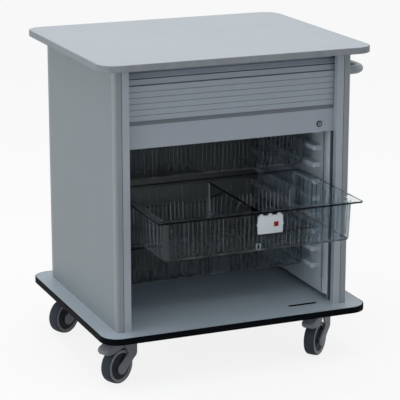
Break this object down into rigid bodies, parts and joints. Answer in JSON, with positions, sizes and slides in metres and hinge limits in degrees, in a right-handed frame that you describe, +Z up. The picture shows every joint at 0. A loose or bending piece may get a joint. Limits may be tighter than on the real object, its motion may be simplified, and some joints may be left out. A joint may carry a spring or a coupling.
{
  "type": "shutter box trolley",
  "caption": "Cabinet trolley with a half-open slatted roller shutter, clear pull-out trays on side ledges, a lockable bottom rail, a side push handle and swivel castors.",
  "frame": {"origin": "on the floor under the middle of the cabinet", "axes": "+Z up; the shutter and trays face -Y; +X to the right, where the push handle is"},
  "size_m": [0.8305, 0.809, 0.904],
  "materials": {
    "worktop_laminate": "matt blue-grey laminate on chipboard",
    "base_laminate": "matt blue-grey laminate on chipboard",
    "cabinet_laminate": "fine matt grey laminate on chipboard",
    "inner_laminate": "dark grey laminate",
    "batten_board": "raw board",
    "edge_grey": "matt edging",
    "edge_black": "matt black edging",
    "coated_profile": "grey powder coat",
    "shutter_plastic": "satin grey plastic",
    "shutter_rail": "grey powder coat",
    "runner_plastic": "moulded grey plastic",
    "lock_metal": "satin nickel",
    "steel": "zinc plated",
    "clear_plastic": "clear moulded plastic with ribs",
    "label_white": "white moulded plastic",
    "marker_red": "red plastic",
    "handle_coating": "grey powder coat on steel tube",
    "castor_plastic": "moulded grey plastic",
    "wheel_plastic": "moulded grey plastic",
    "tyre_rubber": "dark grey rubber"
  },
  "bodies": {
    "cabinet": {"worktop": "worktop_laminate", "worktop_edge_band": "edge_grey", "base_plate": "base_laminate", "base_edge_band": "edge_black", "lock_strike": "edge_black", "left_side_panel": "cabinet_laminate", "right_side_panel": "cabinet_laminate", "rear_panel": "cabinet_laminate", "inner_back_panel": "inner_laminate", "corner_posts": "coated_profile", "carcass_screws": "steel", "right_shutter_guide": "coated_profile", "left_shutter_guide": "coated_profile", "right_shutter_track": "runner_plastic", "left_shutter_track": "runner_plastic", "right_runner_panel": "runner_plastic", "left_runner_panel": "runner_plastic", "right_runner_ledges": "runner_plastic", "left_runner_ledges": "runner_plastic", "runner_battens": "batten_board", "track_slats": "shutter_plastic", "fixed_slats": "shutter_plastic", "push_handle": "handle_coating", "handle_flanges": "castor_plastic", "handle_screws": "steel", "castor_plates": "steel", "castor_screws": "steel", "swivel_pins": "steel"},
    "shutter_rail": {"shutter_rail": "shutter_rail", "rail_end_glides": "edge_black", "lock_housing": "lock_metal"},
    "upper_leaf": {"upper_slats": "shutter_plastic"},
    "lower_leaf": {"lower_slats": "shutter_plastic"},
    "lock": {"lock_core": "lock_metal", "lock_cam": "steel"},
    "top_tray": {"top_tray": "clear_plastic"},
    "middle_tray": {"middle_tray": "clear_plastic", "tray_divider": "clear_plastic", "label_holder": "label_white", "marker_tab": "marker_red"},
    "bottom_tray": {"bottom_tray": "clear_plastic"},
    "front_left_castor": {"front_left_fork": "castor_plastic", "front_left_axle": "steel"},
    "front_left_wheel": {"front_left_wheel": "wheel_plastic", "front_left_tyre": "tyre_rubber"},
    "front_left_pedal": {"front_left_brake_pedal": "castor_plastic"},
    "front_right_castor": {"front_right_fork": "castor_plastic", "front_right_axle": "steel"},
    "front_right_wheel": {"front_right_wheel": "wheel_plastic", "front_right_tyre": "tyre_rubber"},
    "front_right_pedal": {"front_right_brake_pedal": "castor_plastic"},
    "rear_left_castor": {"rear_left_fork": "castor_plastic", "rear_left_axle": "steel"},
    "rear_left_wheel": {"rear_left_wheel": "wheel_plastic", "rear_left_tyre": "tyre_rubber"},
    "rear_right_castor": {"rear_right_fork": "castor_plastic", "rear_right_axle": "steel"},
    "rear_right_wheel": {"rear_right_wheel": "wheel_plastic", "rear_right_tyre": "tyre_rubber"}
  },
  "joints": [
    {"name": "shutter_slide", "type": "slide", "parent": "cabinet", "child": "shutter_rail", "axis": [0, 0, 1], "range_m": [-0.14, 0.045]},
    {"name": "upper_leaf_slide", "type": "slide", "parent": "cabinet", "child": "upper_leaf", "axis": [0, 0, 1], "range_m": [-0.08, 0.028]},
    {"name": "lower_leaf_slide", "type": "slide", "parent": "cabinet", "child": "lower_leaf", "axis": [0, 0, 1], "range_m": [-0.118, 0.04]},
    {"name": "lock_turn", "type": "hinge", "parent": "shutter_rail", "child": "lock", "pos_m": [0.263, -0.262, 0.6841], "axis": [0, -1, 0], "range_deg": [0, 90]},
    {"name": "top_tray_slide", "type": "slide", "parent": "cabinet", "child": "top_tray", "axis": [0, -1, 0], "range_m": [0, 0.33]},
    {"name": "middle_tray_slide", "type": "slide", "parent": "cabinet", "child": "middle_tray", "axis": [0, -1, 0], "range_m": [-0.291, 0.039]},
    {"name": "bottom_tray_slide", "type": "slide", "parent": "cabinet", "child": "bottom_tray", "axis": [0, -1, 0], "range_m": [0, 0.33]},
    {"name": "front_left_swivel", "type": "hinge", "parent": "cabinet", "child": "front_left_castor", "pos_m": [-0.3, -0.228, 0.12], "axis": [0, 0, 1], "continuous": true},
    {"name": "front_left_spin", "type": "hinge", "parent": "front_left_castor", "child": "front_left_wheel", "pos_m": [-0.33885, -0.24866, 0.05], "axis": [0.4695, -0.8829, 0], "continuous": true},
    {"name": "front_left_brake", "type": "hinge", "parent": "front_left_castor", "child": "front_left_pedal", "pos_m": [-0.31766, -0.23739, 0.117], "axis": [0.4695, -0.8829, 0], "range_deg": [0, 10]},
    {"name": "front_right_swivel", "type": "hinge", "parent": "cabinet", "child": "front_right_castor", "pos_m": [0.3, -0.228, 0.12], "axis": [0, 0, 1], "continuous": true},
    {"name": "front_right_spin", "type": "hinge", "parent": "front_right_castor", "child": "front_right_wheel", "pos_m": [0.26679, -0.25687, 0.05], "axis": [0.6561, -0.7547, 0], "continuous": true},
    {"name": "front_right_brake", "type": "hinge", "parent": "front_right_castor", "child": "front_right_pedal", "pos_m": [0.28491, -0.24112, 0.117], "axis": [0.6561, -0.7547, 0], "range_deg": [0, 10]},
    {"name": "rear_left_swivel", "type": "hinge", "parent": "cabinet", "child": "rear_left_castor", "pos_m": [-0.3, 0.228, 0.12], "axis": [0, 0, 1], "continuous": true},
    {"name": "rear_left_spin", "type": "hinge", "parent": "rear_left_castor", "child": "rear_left_wheel", "pos_m": [-0.3392, 0.20802, 0.05], "axis": [0.454, -0.891, 0], "continuous": true},
    {"name": "rear_right_swivel", "type": "hinge", "parent": "cabinet", "child": "rear_right_castor", "pos_m": [0.3, 0.228, 0.12], "axis": [0, 0, 1], "continuous": true},
    {"name": "rear_right_spin", "type": "hinge", "parent": "rear_right_castor", "child": "rear_right_wheel", "pos_m": [0.26679, 0.19913, 0.05], "axis": [0.6561, -0.7547, 0], "continuous": true}
  ],
  "couplings": [
    {"joint": "upper_leaf_slide", "follows": "shutter_slide", "ratio": 0.55},
    {"joint": "lower_leaf_slide", "follows": "shutter_slide", "ratio": 0.82}
  ]
}
